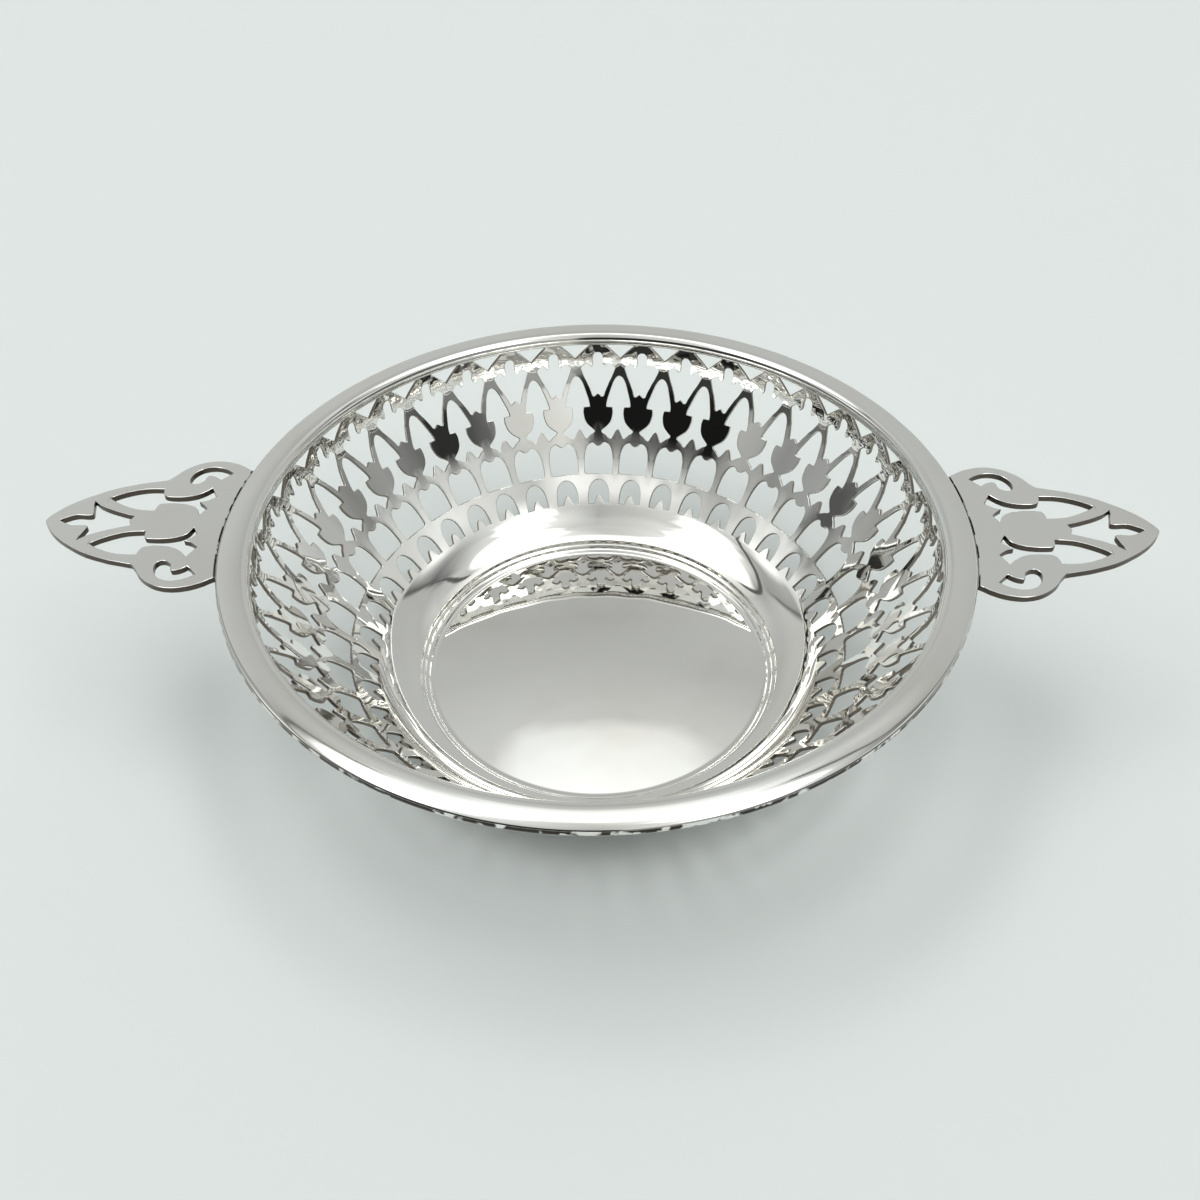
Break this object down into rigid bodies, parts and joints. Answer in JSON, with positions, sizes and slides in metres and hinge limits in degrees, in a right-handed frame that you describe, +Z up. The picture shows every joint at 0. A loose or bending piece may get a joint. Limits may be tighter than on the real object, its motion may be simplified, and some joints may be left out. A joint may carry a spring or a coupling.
{
  "type": "pierced bowl",
  "caption": "Round silver dish with a pierced gallery wall, flat moulded rim, collet foot and two flat pierced lug handles.",
  "frame": {"origin": "on the bowl's axis, at the height of the surface its foot ring stands on", "axes": "+X along the line of the two handles, +Z up along the bowl's axis"},
  "size_m": [0.1718, 0.115, 0.0355],
  "materials": {
    "bowl_silver": "polished sterling silver, pierced and burnished",
    "rim_silver": "polished sterling silver",
    "foot_silver": "polished sterling silver",
    "handle_silver": "polished sterling silver, flat plate"
  },
  "bodies": {
    "root": {"bowl_body": "bowl_silver", "rim_moulding": "rim_silver", "foot_ring": "foot_silver", "handle_right": "handle_silver", "handle_left": "handle_silver"}
  },
  "joints": []
}
